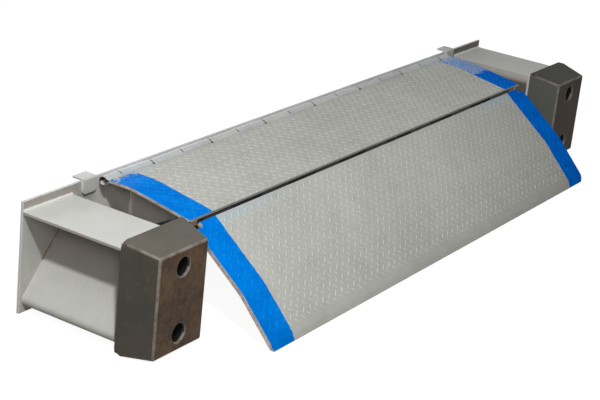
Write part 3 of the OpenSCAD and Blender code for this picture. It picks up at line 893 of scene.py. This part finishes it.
supportLook = {"x": 0.763, "half": 0.005, "faceY": -0.008, "low": 0.114, "high": 0.270}
tabLook = {"left": -0.950, "right": 0.966, "half": 0.026, "faceY": -0.008, "low": 0.282, "high": 0.303}
frameRuns = bracketSeams(-1) + bracketSeams(1)
supportRuns = []
bareRuns = [bareSeam(side) for side in (-1, 1)]
for side in (-1, 1):
    for face in (-1, 1):
        x = side * supportLook["x"] + face * supportLook["half"]
        supportRuns.append(uprightSeam(supportLook, x, beadSize["support"]))
for middle in (tabLook["left"], tabLook["right"]):
    for face in (-1, 1):
        x = middle + face * tabLook["half"]
        frameRuns.append(uprightSeam(tabLook, x, beadSize["tab"]))
stitchLook = {"length": 0.034, "frame": (-0.008, 0.2885), "frameStarts": (0.12, 0.62),
              "deck": (-0.046, 0.295), "deckStarts": (0.15, 0.6), "deckShare": 0.35, "clear": 0.02}
evenKnuckles = range(0, hingeLook["knuckles"], 2)
oddKnuckles = range(1, hingeLook["knuckles"] - 1, 2)
for i in oddKnuckles:
    first, last = knuckleSpan(i)
    for part in stitchLook["frameStarts"]:
        start = first + part * (last - first)
        stop = start + stitchLook["length"]
        frameRuns.append(((start, *stitchLook["frame"]), (stop, *stitchLook["frame"]), beadSize["strap"]))

deckRuns = []
for i in evenKnuckles:
    first, last = knuckleSpan(i)
    for part in stitchLook["deckStarts"]:
        start = first + part * (last - first)
        stop = start + min(stitchLook["length"], stitchLook["deckShare"] * (last - first))
        spots = (start, (start + stop) / 2, stop)
        if all(abs(abs(x) - supportLook["x"]) > stitchLook["clear"] for x in spots):  # none over a gusset
            deckRuns.append(((start, *stitchLook["deck"]), (stop, *stitchLook["deck"]), beadSize["deckRear"]))


def atLip(u, v, slope):  # a point of the lip hinge's own section
    y = lipPath["axis"][0] - u * math.cos(slope) - v * math.sin(slope)
    return y, lipPath["axis"][1] - u * math.sin(slope) + v * math.cos(slope)


leafLook = {"deckSeam": (-0.007, 0.0115), "deckShort": 0.006, "lipNear": (0.018, 0.0075),
            "lipFar": (0.052, 0.0075), "lipShort": 0.004}
deckSeam = atLip(*leafLook["deckSeam"], math.radians(deckPath["fold"]))
for i in evenKnuckles:
    first, last = knuckleSpan(i)
    short = leafLook["deckShort"]
    deckRuns.append(((first + short, *deckSeam), (last - short, *deckSeam), beadSize["deckFront"]))
lipRuns = []
near, far = atLip(*leafLook["lipNear"], lipSlope), atLip(*leafLook["lipFar"], lipSlope)
for i in oddKnuckles:
    first, last = knuckleSpan(i)
    short = leafLook["lipShort"]
    lipRuns.append(((first + short, *far), (last - short, *far), beadSize["leafEnd"]))
    for x in (first, last):
        lipRuns.append(((x, *near), (x, *far), beadSize["leafSide"]))

ripple = weldRipple()
layWelds("frameWelds", ripple, frameRuns, "frame", "grey_paint", weldPaint)
layWelds("bareWelds", ripple, bareRuns, "frame", "grey_paint", rawToe)
layWelds("supportWelds", ripple, supportRuns, "frame", "grey_paint", supportWeld)
layWelds("deckWelds", ripple, deckRuns, "deck", "grey_paint", weldPaint)
layWelds("lipWelds", ripple, lipRuns, "lip", "grey_paint", weldPaint)
bpy.data.objects.remove(ripple)


# floor, light and camera

stageLook = {"floorSize": 16.0, "floorDrop": 0.0006, "glow": 0.93, "floorTone": 0.24, "bounce": 0.25,
             "sky": 0.05}
lampLook = {
    "keyLamp": {"place": (-3.42, -2.3, 4.2), "aim": (-0.6, -0.25, 0.2), "size": 0.34, "power": 174},
    "topLamp": {"place": (-1.8, -0.9, 3.0), "aim": (-0.8, -0.3, 0.2), "size": 1.3, "power": 25},
    "fillLamp": {"place": (-4.2, -2.6, 2.2), "aim": (-0.6, -0.2, 0.2), "size": 1.2, "power": 44,
                 "tint": (1, 0.91, 0.84)},
    "rearLamp": {"place": (3.4, 3.6, 1.0), "aim": (0.2, 0, 0.15), "size": 1.6, "power": 95},
}
cameraLook = {"place": (-4.0996, -2.5988, 1.8330), "azimuth": -58.272, "down": 20.667, "roll": 6.098,
              "lens": 100.62, "sensor": 36}


def seenRays(bench):  # camera, mirror and glass rays see the plain white
    camera = bench.node("ShaderNodeLightPath", out="Is Camera Ray")
    glossy = bench.node("ShaderNodeLightPath", out="Is Glossy Ray")
    through = bench.node("ShaderNodeLightPath", out="Is Transmission Ray")
    return bench.larger(camera, bench.larger(glossy, through))


def makeFloor():
    bpy.ops.object.select_all(action="DESELECT")
    bpy.ops.mesh.primitive_plane_add(size=stageLook["floorSize"], location=(0, 0, -stageLook["floorDrop"]))
    floor = justAdded("studioFloor")
    material = bpy.data.materials.new("studioFloor")
    material.use_nodes = True
    material.node_tree.nodes.clear()
    f = Bench(material.node_tree)
    grey, dim = stageLook["floorTone"], stageLook["bounce"]
    cloth = f.node("ShaderNodeBsdfDiffuse", {}, {"Color": (grey, grey, grey, 1)})
    glow = f.node("ShaderNodeEmission", {}, {"Color": (1, 1, 1, 1), "Strength": stageLook["glow"]})
    shown = f.node("ShaderNodeAddShader", {}, {0: cloth, 1: glow})
    plain = f.node("ShaderNodeBsdfDiffuse", {}, {"Color": (dim, dim, dim, 1)})
    both = f.node("ShaderNodeMixShader", {}, {0: seenRays(f), 1: plain, 2: shown})
    out = f.tree.nodes.new("ShaderNodeOutputMaterial")
    f.tree.links.new(both.socket, out.inputs["Surface"])
    paintWith(floor, material)


def makeLight():
    world = bpy.data.worlds.new("studio")
    bpy.context.scene.world = world
    world.use_nodes = True
    w = Bench(world.node_tree)
    back = world.node_tree.nodes["Background"]
    back.inputs["Color"].default_value = (1, 1, 1, 1)
    strength = stageLook["sky"] + (1 - stageLook["sky"]) * seenRays(w)
    w.tree.links.new(strength.socket, back.inputs["Strength"])
    for name, look in lampLook.items():
        light = bpy.data.lights.new(name, "AREA")
        light.shape = "DISK"
        light.size, light.energy, light.color = look["size"], look["power"], look.get("tint", (1, 1, 1))
        lamp = bpy.data.objects.new(name, light)
        lamp.location = look["place"]
        way = Vector(look["aim"]) - Vector(look["place"])
        lamp.rotation_euler = way.to_track_quat("-Z", "Y").to_euler()
        bpy.context.collection.objects.link(lamp)


def makeCamera():
    camera = bpy.data.objects.new("photoCamera", bpy.data.cameras.new("photoCamera"))
    bpy.context.collection.objects.link(camera)
    camera.data.lens = cameraLook["lens"]
    camera.data.sensor_width = cameraLook["sensor"]
    turn = Matrix.Rotation(math.radians(cameraLook["azimuth"]), 4, "Z")
    turn = turn @ Matrix.Rotation(math.radians(90 - cameraLook["down"]), 4, "X")
    turn = turn @ Matrix.Rotation(math.radians(cameraLook["roll"]), 4, "Z")
    camera.matrix_world = Matrix.Translation(cameraLook["place"]) @ turn
    bpy.context.scene.camera = camera


makeFloor()
makeLight()
makeCamera()
bpy.context.scene.view_settings.view_transform = "Standard"
print("stage set")
